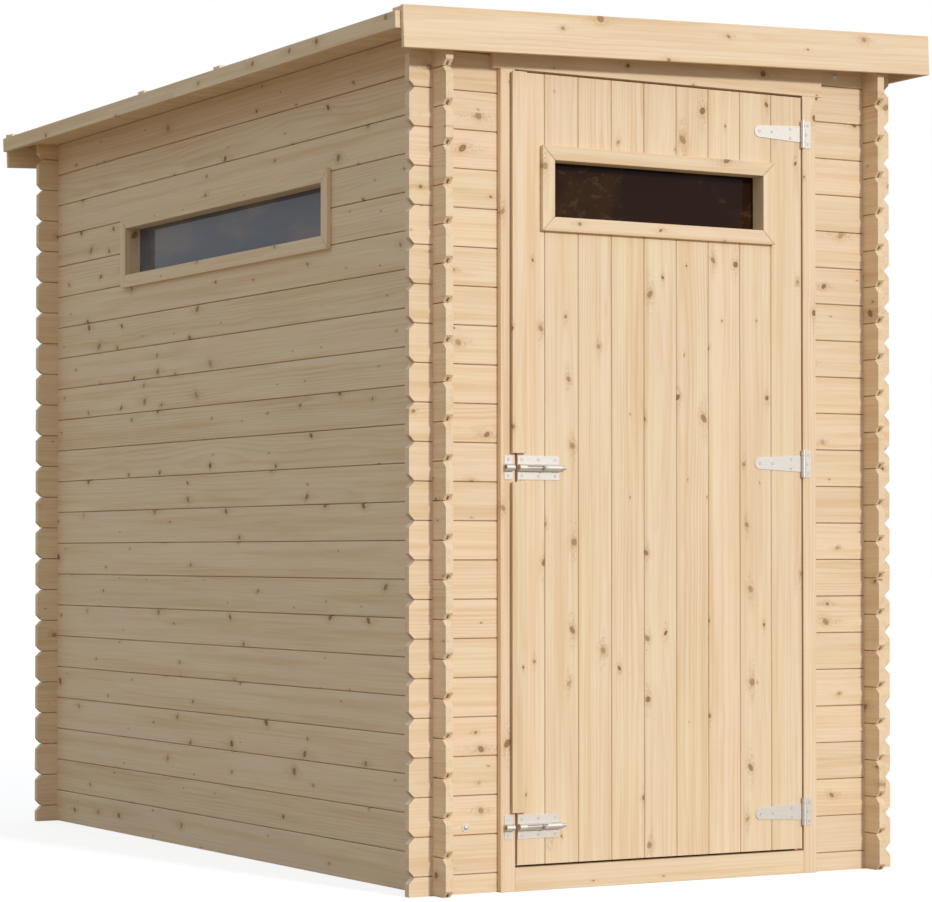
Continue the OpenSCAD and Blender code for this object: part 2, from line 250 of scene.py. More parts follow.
def pineKnots(s, along, across, shift, rough):
    # one place for a knot in each cell of a grid stretched along the board
    cell = s.vector(along / pine["knotEvery"] + shift, across / pine["knotAcross"] + shift * 0.37, 0.0)
    spots = s.add("ShaderNodeTexVoronoi", {"voronoi_dimensions": "2D"}, {"Vector": cell, "Scale": 1.0})
    spotX, spotY, _ = s.split(spots.out("Position"))
    chance, size, slant = s.split(spots.out("Color"))
    knotAlong = (spotX - shift) * pine["knotEvery"] - along
    knotAcross = (spotY - shift * 0.37) * pine["knotAcross"] - across
    knotAlong = knotAlong + knotAcross * (slant - 0.5) * 1.2
    sideways = knotAcross * knotAcross
    distance = (knotAlong * knotAlong * (size * 0.5 + 0.5) + sideways) ** 0.5 + rough * 0.0022
    radius = size * size * pine["knotGrowth"] + pine["knotSmall"]
    present = s.smooth(chance, 1 - pine["knotShare"], 1.02 - pine["knotShare"])
    bold = (chance * 37.0).math("FRACT") * 0.65 + 0.35
    reach = distance / radius
    knot = (1 - s.smooth(reach, 0.75, 1.3)) * present * bold
    heart = (1 - s.smooth(reach, 0.45, 0.85)) * s.smooth(reach, 0.1, 0.32) * present * bold
    halo = (1 - s.smooth(reach, 1.0, 3.6)) * present
    smear = (knotAlong * knotAlong * 0.06 + sideways) ** 0.5 / radius
    smudge = (1 - s.smooth(smear, 0.3, 2.6)) * present * s.smooth(rough, -0.18, 0.3)
    return knot, heart, halo, smudge


def pineRings(s, along, across, through, shift, seed, halo):
    # growth rings round a pith that wanders along the board and bends round the knots
    wander = s.noise(s.vector(along * 1.1 + shift, across * 3.0, through * 3.0), 1.0, 1.0) - 0.5
    ripple = s.noise(s.vector(along * 7.0 + shift, across * 14.0, through * 14.0), 1.0, 2.0) - 0.5
    sideways = across + ((seed * 5.3).math("FRACT") - 0.5) * pine["ringPlay"] + wander * 0.05
    deep = through + pine["pithDeep"] + (seed * 9.7).math("FRACT") * 0.05 + wander * 0.03
    turn = (sideways * sideways + deep * deep) ** 0.5 + ripple * 0.005 + halo * 0.003
    ring = (turn / pine["ringGap"]).math("FRACT")
    return s.ramp(ring, [(0.0, 0.35), (0.12, 0.0), (0.5, 0.12), (0.86, 0.95), (0.95, 1.0), (1.0, 0.4)])


def pineMaterial(name, axis, lean=0.0):
    s = Shader(name)
    place = s.objectPlace()
    middle = s.add("ShaderNodeAttribute", {"attribute_name": "boardMid"}, None, "Vector")
    seed = s.add("ShaderNodeAttribute", {"attribute_name": "boardSeed"}, None, "Fac")
    local = s.vectorMath("SUBTRACT", place, middle)
    if lean:
        local = s.add("ShaderNodeMapping", None, {"Vector": local, "Rotation": (0, lean, 0)})
    parts = s.split(local)
    along, across, through = (parts[i] for i in grainAxes[axis])
    shift = seed * 91.7
    rough = s.noise(local, 170.0, 2.0) - 0.5
    knot, heart, halo, smudge = pineKnots(s, along, across, shift, rough)
    lateWood = pineRings(s, along, across, through, shift, seed, halo)

    def drawn(stretch, fine, detail, roughness=0.5):
        # noise drawn out along the grain
        spot = s.vector(along * stretch + shift, across * fine, through * fine)
        return s.noise(spot, 1.0, detail, roughness)

    streaks = drawn(1.2, pine["streak"], 3.0, 0.6)
    fibres = drawn(5.0, pine["fibre"], 3.0)
    cloud = drawn(2.3, 9.0, 2.0)
    tone = s.mix(s.smooth(cloud, 0.3, 0.7) * 0.6 + seed * 0.4, pine["early"], pine["pink"])
    figured = s.smooth((seed * 23.3).math("FRACT"), 0.35, 1.0)
    strength = s.smooth(cloud, 0.3, 0.8) * figured * 0.5 + 0.16
    colour = s.mix(lateWood * strength, tone, pine["late"])
    colour = s.mix(s.smooth(streaks, 0.42, 0.75) * 0.5, colour, pine["late"])
    colour = s.mix(s.smooth(fibres, 0.35, 0.75) * 0.2, colour, pine["late"])
    colour = s.mix(halo * 0.3, colour, pine["halo"])
    colour = s.mix(smudge * 0.52, colour, pine["smudge"])
    colour = s.mix(knot, colour, pine["knotRim"])
    colour = s.mix(heart * 0.75, colour, pine["knotHeart"])
    shade = s.add("ShaderNodeHueSaturation", None, {"Value": seed * 0.07 + 0.965, "Color": colour})

    height = fibres * 0.4 - lateWood * 0.3 - knot * 0.5
    bump = s.add("ShaderNodeBump", None, {"Strength": 0.35, "Distance": 0.0006, "Height": height})
    return s.surface(
        Base_Color=shade,
        Roughness=fibres * 0.15 + 0.56,
        Normal=bump,
        Specular_IOR_Level=0.3,
    )


wood = {axis: pineMaterial("pineAlong" + axis, axis) for axis in "XYZ"}
roofWood = pineMaterial("pineUpTheRoof", "X", roofAngle)


def zincMaterial(name, roughness, metal):
    s = Shader(name)
    place = s.objectPlace()
    spangle = s.noise(place, 260.0, 3.0)
    streak = s.noise(s.vectorMath("MULTIPLY", place, (40.0, 40.0, 900.0)), 1.0, 2.0)
    bump = s.add("ShaderNodeBump", None, {"Strength": 0.15, "Distance": 0.0003, "Height": streak + spangle})
    return s.surface(
        Base_Color=s.mix(spangle, tint("D0C8BF"), tint("F2EAE1")),
        Metallic=metal,
        Roughness=streak * 0.14 + (spangle * 0.1 + roughness),
        Normal=bump,
    )


def glassMaterial(name, glass):
    s = Shader(name)
    stretched = s.vectorMath("MULTIPLY", s.objectPlace(), glass["cloud"])
    broadReflection = s.noise(stretched, 1.0, 3.0, 0.45)
    fine = s.noise(stretched, 6.0, 5.0, 0.65)
    # painted reflections: the pale and fleck colours mixed over the pane stand in for reflected trees on the
    # door glass and reflected clouds on the side glass
    colour = s.mix(s.smooth(broadReflection, 0.48, 0.66), glass["deep"], glass["pale"])
    colour = s.mix(s.smooth(fine, 0.52, 0.7) * s.smooth(broadReflection, 0.4, 0.6) * 0.6, colour, glass["fleckReflection"])
    return s.surface(
        Base_Color=colour,
        Roughness=fine * 0.05 + 0.03,
        Alpha=0.95,
        Specular_IOR_Level=glass["gloss"],
    )


# deep is the brown glass's own tint; pale and fleck are painted reflections of trees
doorPane = {
    "deep": tint("2A170D"),
    "pale": tint("38220F"),
    "fleckReflection": tint("5C4430"),
    "gloss": 0.16,
    "cloud": (6, 6, 9),
}
# deep is the pane's own grey together with a painted sky reflection; pale and fleck are painted reflections
# of pinkish clouds
sidePane = {
    "deep": tint("5A5D66"),
    "pale": tint("7B6D69"),
    "fleckReflection": tint("6C6C74"),
    "gloss": 0.4,
    "cloud": (3, 3, 9),
}
zinc = zincMaterial("zincPlate", 0.34, 0.6)
brightZinc = zincMaterial("zincRod", 0.22, 0.75)
brownGlass = glassMaterial("brownGlass", doorPane)
greyGlass = glassMaterial("greyGlass", sidePane)
print("materials made")


def newObject(name, mesh):
    made = bpy.data.objects.new(name, mesh)
    bpy.context.scene.collection.objects.link(made)
    return made


def meshFrom(bm, name):
    bmesh.ops.recalc_face_normals(bm, faces=bm.faces)
    mesh = bpy.data.meshes.new(name)
    bm.to_mesh(mesh)
    bm.free()
    return mesh


def boardRing(size, cut):
    # outline of a board's section, as (across, through) pairs, outer face first
    width, thick, edge = size["width"], size["thick"], size["edge"]
    heights = [edge, *cut, *[width - c for c in reversed(cut)], width - edge]
    middle = thick / 2
    outer = [(h, 0.0) for h in heights]
    inner = [(h, thick) for h in reversed(heights)]
    top, bottom = [(width, edge), (width, thick - edge)], [(0.0, thick - edge), (0.0, edge)]
    if size["tongueHigh"]:
        high, deep = width + size["tongueHigh"], size["grooveDeep"]
        near, far = middle - size["tongueWide"] / 2, middle + size["tongueWide"] / 2
        top[1:1] = [(width, near), (high, near), (high, far), (width, far)]
        near, far = near - size["play"], far + size["play"]
        bottom[1:1] = [(0.0, far), (deep, far), (deep, near), (0.0, near)]
    return outer + top + inner + bottom


def logMesh(size, length, past, chamfer):
    # x along the log from one corner to the other, y up, z through its thickness
    width, thick = size["width"], size["thick"]
    keepLow = size["pitch"] / 4  # half of the log is left where it crosses another one
    ring = boardRing(size, [chamfer, keepLow])
    bm = bmesh.new()
    stations = [-past, 0.0, thick, length - thick, length, length + past]
    rows = []
    for place, x in enumerate(stations):
        row = []
        for y, z in ring:
            inset = max(0.0, chamfer - y, y - (width - chamfer)) if place in (0, 5) else 0.0
            row.append(bm.verts.new((x + (inset if place == 0 else -inset), y, z)))
        rows.append(row)
    count = len(ring)
    outerLow, innerLow = [i for i, p in enumerate(ring) if abs(p[0] - keepLow) < 1e-6]
    outerHigh, innerHigh = [i for i, p in enumerate(ring) if abs(p[0] - (width - keepLow)) < 1e-6]
    for part in range(5):
        near, far = rows[part], rows[part + 1]
        for i in range(count):
            j = (i + 1) % count
            if part in (1, 3) and i not in (outerLow, innerHigh):
                continue
            bm.faces.new((near[i], near[j], far[j], far[i]))
        if part in (1, 3):
            for a, b in ((outerHigh, innerHigh), (innerLow, outerLow)):
                bm.faces.new((near[a], near[b], far[b], far[a]))
    upper = list(range(outerHigh, innerHigh + 1))
    lower = [*range(innerLow, count), *range(0, outerLow + 1)]
    for place in (1, 2, 3, 4):
        bm.faces.new([rows[place][i] for i in upper])
        bm.faces.new([rows[place][i] for i in lower])
    # each end in three faces: above the notched corners, between them, and below them
    cutOuter, cutInner = 1, innerLow + 1
    topOuter, topInner = outerHigh + 1, innerHigh - 1
    endFaces = (
        range(topOuter, topInner + 1),
        [*range(cutOuter, topOuter + 1), *range(topInner, cutInner + 1)],
        [*range(cutInner, count), *range(0, cutOuter + 1)],
    )
    for place in (0, 5):
        for outline in endFaces:
            bm.faces.new([rows[place][i] for i in outline])
    return bm


def plankMesh(size, length):
    ring = boardRing(size, [])
    bm = bmesh.new()
    rows = [[bm.verts.new((x, y, z)) for y, z in ring] for x in (0.0, length)]
    for i in range(len(ring)):
        j = (i + 1) % len(ring)
        bm.faces.new((rows[0][i], rows[0][j], rows[1][j], rows[1][i]))
    for row in rows:
        bm.faces.new(row)
    return bm


def stackTree():
    # lays a board again and again, a step apart, and notes each one's middle and a random number
    sockets = {
        "Board": "Object",
        "Count": "Int",
        "Step": "Vector",
        "Middle": "Vector",
        "Seed": "Int",
        "Wood": "Material",
    }
    g = GeometryTree("stackBoards", sockets)
    lineInputs = {"Count": g.given("Count"), "Offset": g.given("Step")}
    line = g.add("GeometryNodeMeshLine", {"mode": "OFFSET"}, lineInputs)
    board = g.add("GeometryNodeObjectInfo", None, {"Object": g.given("Board")}, "Geometry")
    laid = g.add("GeometryNodeInstanceOnPoints", None, {"Points": line, "Instance": board})
    chance = g.add("FunctionNodeRandomValue", {"data_type": "FLOAT"}, {"Seed": g.given("Seed")}, "Value")
    place = g.add("GeometryNodeInputPosition")
    middle = g.add("ShaderNodeVectorMath", {"operation": "ADD"}, [place, g.given("Middle")])
    for name, kind, value in (("boardSeed", "FLOAT", chance), ("boardMid", "FLOAT_VECTOR", middle)):
        settings = {"data_type": kind, "domain": "INSTANCE"}
        inputs = {"Geometry": laid, "Name": name, "Value": value}
        laid = g.add("GeometryNodeStoreNamedAttribute", settings, inputs)
    return g.finish(laid, g.given("Wood"))


def runTree(name, tree, base, values):
    # runs a tree on a mesh, and gives back the result as a plain object
    holder = newObject(name + "Maker", base)
    modifier = holder.modifiers.new(tree.name, "NODES")
    modifier.node_group = tree
    for item in tree.interface.items_tree:
        if item.item_type == "SOCKET" and item.in_out == "INPUT" and item.name in values:
            modifier[item.identifier] = values[item.name]
    holder.update_tag()
    bpy.context.view_layer.update()
    mesh = bpy.data.meshes.new_from_object(holder.evaluated_get(bpy.context.evaluated_depsgraph_get()))
    bpy.data.objects.remove(holder)
    return newObject(name, mesh)


stackBoards = stackTree()


def toFaces(bm):
    # moves each board's notes from its corners to its faces, where cuts keep them
    for kind, name in (("float", "boardSeed"), ("float_vector", "boardMid")):
        store = getattr(bm.verts.layers, kind)
        source = store.get(name)
        if source is None:
            continue
        target = getattr(bm.faces.layers, kind).new(name)
        for face in bm.faces:
            face[target] = face.verts[0][source]
        store.remove(source)


def noteLayers(bm):
    floats, vectors = bm.faces.layers.float, bm.faces.layers.float_vector
    if "boardSeed" not in floats:
        floats.new("boardSeed")
        vectors.new("boardMid")
    return floats["boardSeed"], vectors["boardMid"]


def sliceOff(bm, point, normal):
    # removes what lies on the normal's side of a plane, and closes the cut
    geometry = bm.verts[:] + bm.edges[:] + bm.faces[:]
    bmesh.ops.bisect_plane(bm, geom=geometry, dist=1e-7, plane_co=point, plane_no=normal, clear_outer=True)
    rims = [e for e in bm.edges if e.is_boundary]
    if not rims:
        return
    seedLayer, midLayer = noteLayers(bm)
    made = bmesh.ops.holes_fill(bm, edges=rims, sides=0)["faces"]
    new = set(made)
    for face in made:
        beside = next((f for e in face.edges for f in e.link_faces if f not in new), None)
        if beside:
            face[seedLayer], face[midLayer] = beside[seedLayer], beside[midLayer].copy()
            face.material_index = beside.material_index


def boardsMet(bm, low, high, across):
    # the faces of every board whose middle lies within reach of a box
    _, midLayer = noteLayers(bm)
    return {f for f in bm.faces if low[across] - cutReach < f[midLayer][across] < high[across] + cutReach}


def takeOut(bm, low, high, along, across):
    # cuts a box out of the boards that it meets; the box is through their whole thickness
    source = bm.copy()
    met = boardsMet(source, low, high, across)
    bmesh.ops.delete(source, geom=[f for f in source.faces if f not in met], context="FACES")
    bmesh.ops.delete(bm, geom=list(boardsMet(bm, low, high, across)), context="FACES")
    axisAlong, axisAcross = Vector((0, 0, 0)), Vector((0, 0, 0))
    axisAlong[along], axisAcross[across] = 1, 1
    cuts = (
        [(low, axisAlong)],
        [(high, -axisAlong)],
        [(low, -axisAlong), (high, axisAlong), (low, axisAcross)],
        [(low, -axisAlong), (high, axisAlong), (high, -axisAcross)],
    )
    for planes in cuts:
        part = source.copy()
        for point, normal in planes:
            if part.faces:
                sliceOff(part, point, normal)
        join(bm, part)
        part.free()
    source.free()


def join(bm, other):
    mesh = bpy.data.meshes.new("part")
    other.to_mesh(mesh)
    bm.from_mesh(mesh)
    bpy.data.meshes.remove(mesh)


log = {
    "pitch": 0.088,
    "width": 0.0861,
    "thick": logThick,
    "edge": 0.0013,
    "tongueHigh": 0.0042,
    "tongueWide": 0.0054,
    "grooveDeep": 0.0095,
    "play": 0.0003,
    "chamfer": 0.014,
}
log["gap"] = log["pitch"] - log["width"]
cutReach = log["pitch"] / 2
# turns a board's own x, y, z to the wall's length, height and thickness
turns = {
    "X": Matrix(((1, 0, 0, 0), (0, 0, 1, 0), (0, 1, 0, 0), (0, 0, 0, 1))),
    "Y": Matrix(((0, 0, 1, 0), (1, 0, 0, 0), (0, 1, 0, 0), (0, 0, 0, 1))),
    "Z": Matrix(((0, 1, 0, 0), (0, 0, 1, 0), (1, 0, 0, 0), (0, 0, 0, 1))),
}


def layBoards(name, bm, count, step, seed, material):
    # repeats one board, a step apart, ready to be cut
    board = newObject(name + "Board", meshFrom(bm, name + "Board"))
    middle = sum((v.co for v in board.data.vertices), Vector()) / len(board.data.vertices)
    values = {
        "Board": board,
        "Count": count,
        "Step": step,
        "Middle": tuple(middle),
        "Seed": seed,
        "Wood": material,
    }
    laid = runTree(name, stackBoards, bpy.data.meshes.new(name), values)
    bpy.data.objects.remove(board)
    bm = bmesh.new()
    bm.from_mesh(laid.data)
    toFaces(bm)
    return laid, bm


def boardRow(name, size, length, turn, step, count, seed, material):
    bm = plankMesh(size, length)
    bm.transform(turn)
    return layBoards(name, bm, count, step, seed, material)


def logWall(name, axis, length, start, firstLog, seed):
    # a full stack of logs, before the roof line and the openings are cut
    bm = logMesh(log, length, logEnd, log["chamfer"])
    bm.transform(Matrix.Translation(start + Vector((0, 0, firstLog))) @ turns[axis])
    count = math.ceil((rightHigh.z - firstLog) / log["pitch"])
    wall, bm = layBoards(name, bm, count, (0, 0, log["pitch"]), seed, wood[axis])
    sliceOff(bm, Vector((0, 0, 0)), Vector((0, 0, -1)))
    sliceOff(bm, roofPoint, roofNormal)
    return wall, bm


def finishPiece(piece, bm, body, slot, *nodes):
    bm.normal_update()
    bm.to_mesh(piece.data)
    bm.free()
    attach(piece, body)
    if nodes:
        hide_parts(*nodes)


def purlinNotches(bm):
    # the purlins pass through the top board of the front and rear walls
    low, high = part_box("purlins")
    part = bmesh.new()
    part.from_mesh(frame["nodes"]["purlins"].data)
    middle = (low.x + high.x) / 2
    for side in (-1, 1):
        spots = [v.co for v in part.verts if (v.co.x - middle) * side > 0]
        lowest = Vector([min(p[i] for p in spots) for i in range(3)])
        highest = Vector([max(p[i] for p in spots) for i in range(3)])
        highest.z += cutReach
        takeOut(bm, lowest, highest, 0, 2)
    part.free()


sideStart = log["gap"] / 2
leftWall, bm = logWall("leftWallLogs", "Y", wallDepth, corner, sideStart, 11)
openLow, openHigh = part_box("side_window_lining")
takeOut(bm, openLow, openHigh, 1, 2)
finishPiece(leftWall, bm, "shed", "pine_boards", "left_wall")

rightStart = Vector((rightLow.x, corner.y, 0))
rightWall, bm = logWall("rightWallLogs", "Y", wallDepth, rightStart, sideStart, 23)
finishPiece(rightWall, bm, "shed", "pine_boards", "right_wall")

crossStart = sideStart - log["pitch"] / 2
rearStart = Vector((corner.x, rearHigh.y - logThick, 0))
rearWall, bm = logWall("rearWallLogs", "X", wallWidth, rearStart, crossStart, 37)
purlinNotches(bm)
finishPiece(rearWall, bm, "shed", "pine_boards", "rear_wall")

frontWall, bm = logWall("frontWallLogs", "X", wallWidth, corner, crossStart, 41)
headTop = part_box("door_head")[1].z
slotLeft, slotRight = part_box("front_wall_left")[1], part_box("front_wall_right")[0]
leftPart, rightPart = bm.copy(), bm.copy()
sliceOff(leftPart, slotLeft, Vector((1, 0, 0)))
sliceOff(rightPart, slotRight, Vector((-1, 0, 0)))
sliceOff(bm, slotLeft, Vector((-1, 0, 0)))
sliceOff(bm, slotRight, Vector((1, 0, 0)))
sliceOff(bm, Vector((0, 0, headTop)), Vector((0, 0, -1)))
purlinNotches(bm)
join(bm, leftPart)
join(bm, rightPart)
leftPart.free()
rightPart.free()
finishPiece(frontWall, bm, "shed", "pine_boards", "front_wall_left", "front_wall_right", "front_wall_top")
print("log walls stacked")

# Roof boards: laid across the slope frame from the front to the rear
roofBoard = {
    "pitch": 0.0885,
    "width": 0.0877,
    "thick": 0.019,
    "edge": 0.0014,
    "tongueHigh": 0.005,
    "tongueWide": 0.006,
    "grooveDeep": 0.007,
    "play": 0.0003,
}
roofNode = bmesh.new()
roofNode.from_mesh(frame["nodes"]["roof_boards"].data)
roofNode.transform(roofFrame.inverted())
roofX = [min(v.co.x for v in roofNode.verts), max(v.co.x for v in roofNode.verts)]
roofY = [min(v.co.y for v in roofNode.verts), max(v.co.y for v in roofNode.verts)]
roofNode.free()


roofTurn = roofFrame @ Matrix.Translation((roofX[0], roofY[0], 0))
roofCount = math.ceil((roofY[1] - roofY[0]) / roofBoard["pitch"])
roof, bm = boardRow("roofBoards", roofBoard, roofX[1] - roofX[0], roofTurn, (0, roofBoard["pitch"], 0),
                    roofCount, 53, roofWood)
sliceOff(bm, Vector((0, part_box("roof_boards")[1].y, 0)), Vector((0, 1, 0)))
sliceOff(bm, Vector((0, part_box("roof_boards")[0].y, 0)), Vector((0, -1, 0)))
finishPiece(roof, bm, "shed", "pine_boards", "roof_boards")

# Door boards: upright, cut to the leaf and round its window
doorBoard = {
    "pitch": 0.0899,
    "width": 0.0889,
    "thick": 0.018,
    "edge": 0.0016,
    "tongueHigh": 0.0045,
    "tongueWide": 0.0056,
    "grooveDeep": 0.0055,
    "play": 0.0003,
    "firstJoint": 0.0732,
}
leafLow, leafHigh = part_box("door_boards")
doorGap = doorBoard["pitch"] - doorBoard["width"]
doorStart = leafLow + Vector((doorBoard["firstJoint"] - doorBoard["pitch"] + doorGap / 2, 0, 0))
doorTurn = Matrix.Translation(doorStart) @ turns["Z"]
doorCount = math.ceil((leafHigh.x - leafLow.x - doorBoard["firstJoint"]) / doorBoard["pitch"]) + 1
door, bm = boardRow("doorBoards", doorBoard, leafHigh.z - leafLow.z, doorTurn, (doorBoard["pitch"], 0, 0),
                    doorCount, 67, wood["Z"])
sliceOff(bm, leafLow, Vector((-1, 0, 0)))
sliceOff(bm, leafHigh, Vector((1, 0, 0)))
openLow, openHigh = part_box("door_window_lining")
takeOut(bm, openLow, openHigh, 2, 0)
finishPiece(door, bm, "door", "door_pine", "door_boards")
print("roof and door boards laid")

# Plain boards keep the CAD shape, with planed edges taken off
boards = {
    "frontFascia": ("front_fascia", 0.0015, roofWood),
    "rearFascia": ("rear_fascia", 0.0015, roofWood),
    "rightFascia": ("right_fascia", 0.0015, wood["Y"]),
    "edgeSlatFront": ("left_slat_front", 0.0012, wood["Y"]),
    "edgeSlatRear": ("left_slat_rear", 0.0012, wood["Y"]),
    "roofBattens": ("roof_battens", 0.0012, roofWood),
    "purlinPair": ("purlins", 0.002, wood["Y"]),
    "stormBraces": ("storm_braces", 0.002, wood["Z"]),
    "leftPost": ("door_post_left", 0.0015, wood["Z"]),
    "rightPost": ("door_post_right", 0.0015, wood["Z"]),
    "headPiece": ("door_head", 0.0015, wood["X"]),
    "sillPiece": ("door_sill", 0.0015, wood["X"]),
    "lintelTrim": ("door_lintel_trim", 0.0015, wood["X"]),
    "doorLedges": ("door_ledges", 0.002, wood["X"]),
    "doorBrace": ("door_brace", 0.002, wood["X"]),
    "coverStripUpper": ("cover_strip_upper", 0.0014, wood["Z"]),
    "coverStripLower": ("cover_strip_lower", 0.0014, wood["Z"]),
}


def cadCopy(node):
    # the CAD node's triangles as a solid with whole flat faces
    bm = bmesh.new()
    bm.from_mesh(frame["nodes"][node].data)
    bmesh.ops.remove_doubles(bm, verts=bm.verts, dist=1e-6)
    bmesh.ops.dissolve_limit(bm, angle_limit=math.radians(0.5), verts=bm.verts, edges=bm.edges)
    return bm


def islands(bm):
    # each separate solid, as a list of its faces
    left, found = set(bm.faces), []
    while left:
        group, queue = [], [left.pop()]
        while queue:
            face = queue.pop()
            group.append(face)
            for edge in face.edges:
                for near in edge.link_faces:
                    if near in left:
                        left.discard(near)
                        queue.append(near)
        found.append(group)
    return found


def firstCentre(group):
    # a place that puts a node's boards in the same order each time
    return min(tuple(round(c, 4) for c in face.calc_center_median()) for face in group)


def noteBoards(bm, generator):
    seedLayer, midLayer = noteLayers(bm)
    for group in sorted(islands(bm), key=firstCentre):
        spots = [v.co for f in group for v in f.verts]
        middle = Vector([(min(p[i] for p in spots) + max(p[i] for p in spots)) / 2 for i in range(3)])
        seed = float(generator.random())
        for face in group:
            face[seedLayer], face[midLayer] = seed, middle


def planeEdges(bm, width):
    sharp = [e for e in bm.edges if len(e.link_faces) == 2 and e.calc_face_angle(0) > math.radians(20)]
    bmesh.ops.bevel(bm, geom=sharp, offset=width, segments=2, profile=0.6, affect="EDGES", clamp_overlap=True)


generator = np.random.default_rng(5)
for name, (node, width, material) in boards.items():
    body = frame["nodes"][node]["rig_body"]
    bm = cadCopy(node)
    planeEdges(bm, width)
    noteBoards(bm, generator)
    piece = newObject(name, bpy.data.meshes.new(name))
    piece.data.materials.append(material)
    finishPiece(piece, bm, body, "door_pine" if body == "door" else "pine_boards", node)
print("plain boards planed")

# Window trims and linings: four mitred lengths each
frames = {
    "doorTrimOuter": ("door_window_trim_outer", 0, 0.0022),
    "doorTrimInner": ("door_window_trim_inner", 0, 0.0015),
    "doorLining": ("door_window_lining", 0, 0.001),
    "sideTrimOuter": ("side_window_trim_outer", 1, 0.0022),
    "sideTrimInner": ("side_window_trim_inner", 1, 0.0015),
    "sideLining": ("side_window_lining", 1, 0.001),
}


def mitredFrame(node, across, edge):
    # across is the axis that the window is long along: 0 on the door, 1 on the side wall
    low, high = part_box(node)
    middle = (low + high) / 2
    halfLong, halfHigh = (high[across] - low[across]) / 2, (high.z - low.z) / 2
    whole = bmesh.new()
    source = cadCopy(node)
    seam = 0.0002
    for side in range(4):
        part = source.copy()
        level = side % 2 == 0
        sign = 1 if side < 2 else -1
        for end in (-1, 1):
            spot, normal = middle.copy(), Vector((0, 0, 0))
            spot[across] += end * halfLong if level else sign * halfLong
            spot.z += sign * halfHigh if level else end * halfHigh
            if level:
                normal[across], normal.z = end, -sign
            else:
                normal[across], normal.z = -sign, end
            normal.normalize()
            sliceOff(part, spot - normal * seam, normal)
        half = Vector((0, 0, -sign)) if level else Vector((0, 0, 0))
        if not level:
            half[across] = -sign
        sliceOff(part, middle, half)
        planeEdges(part, edge)
        for face in part.faces:
            face.material_index = 0 if level else 1
        join(whole, part)
        part.free()
    source.free()
    return whole


for name, (node, across, edge) in frames.items():
    body = frame["nodes"][node]["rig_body"]
    bm = mitredFrame(node, across, edge)
    noteBoards(bm, generator)
    piece = newObject(name, bpy.data.meshes.new(name))
    piece.data.materials.append(wood["XY"[across]])
    piece.data.materials.append(wood["Z"])
    finishPiece(piece, bm, body, "door_pine" if body == "door" else "pine_boards", node)
print("window frames mitred")


# Screws and the heads of the storm brace bolts
screw = {
    "radius": 0.0037,
    "rim": 0.0028,
    "dome": 0.0012,
    "sunk": 0.0004,
    "arm": 0.0021,
    "half": 0.0005,
    "deep": 0.0009,
}
boltHead = {
    "washer": 0.0105,
    "sheet": 0.0014,
    "radius": 0.0062,
    "height": 0.0045,
    "places": ((0.085, 0.149), (1.113, 1.917)),  # across from the left corner, and up
}
hingeScrews = {
    "sheet": 0.002,
    "pinInset": 0.0055,
    "strap": ((0.124, 0.0), (0.088, 0.0), (0.034, 0.011), (0.034, -0.011)),  # back from the pin, and up
    "plate": ((0.008, 0.022), (0.0125, 0.0), (0.008, -0.022)),  # in from the outer edge, and up
}
boltScrews = {"shares": (0.1, 0.5, 0.9), "off": 0.0185}


def lathe(profile, turns=24, closed=True):
    # a solid of revolution about the y axis, pointing to -y, from (radius, reach) pairs
    bm = bmesh.new()
    rings = []
    for radius, reach in profile:
        angles = [2 * math.pi * i / turns for i in range(turns)]
        rings.append([bm.verts.new((radius * math.cos(a), -reach, radius * math.sin(a))) for a in angles])
    for near, far in zip(rings, rings[1:]):
        for i in range(turns):
            j = (i + 1) % turns
            bm.faces.new((near[i], near[j], far[j], far[i]))
    bm.faces.new(rings[0])
    if closed:
        bm.faces.new(rings[-1])
    return bm


def screwHead():
    # a domed head with a sunk cross for the driver
    radius, rim, dome, arm, half = (screw[key] for key in ("radius", "rim", "dome", "arm", "half"))
    profile = [(radius * 0.96, -screw["sunk"]), (radius, 0.0), (radius * 0.93, dome * 0.6), (rim, dome)]
    bm = lathe(profile, 24, False)
    rimEdges = [e for e in bm.edges if e.is_boundary]
    outline = []
    for quarter in range(4):
        turn = Matrix.Rotation(math.pi / 2 * quarter, 2)
        outline += [turn @ Vector(spot) for spot in ((arm, -half), (arm, half), (half, half))]
    top, bottom = [[bm.verts.new((p.x, y, p.y)) for p in outline] for y in (-dome, screw["deep"] - dome)]
    count = len(outline)
    crossEdges = [bm.edges.new((top[i], top[(i + 1) % count])) for i in range(count)]
    bmesh.ops.bridge_loops(bm, edges=rimEdges + crossEdges)
    for i in range(count):
        j = (i + 1) % count
        bm.faces.new((top[i], top[j], bottom[j], bottom[i]))
    bm.faces.new(bottom)
    return newObject("screwHead", meshFrom(bm, "screwHead"))


def boltCap():
    wide, thick, radius, high = boltHead["washer"], boltHead["sheet"], boltHead["radius"], boltHead["height"]
    bm = lathe([(wide, 0.0), (wide, thick * 0.8), (wide * 0.97, thick), (radius, thick)], 40)
    rise = [(radius * math.cos(a), thick + high * math.sin(a)) for a in (0.0, 0.35, 0.7, 1.05, 1.35)]
    join(bm, lathe([(radius, thick * 0.5), *rise], 40))
    return newObject("boltCap", meshFrom(bm, "boltCap"))


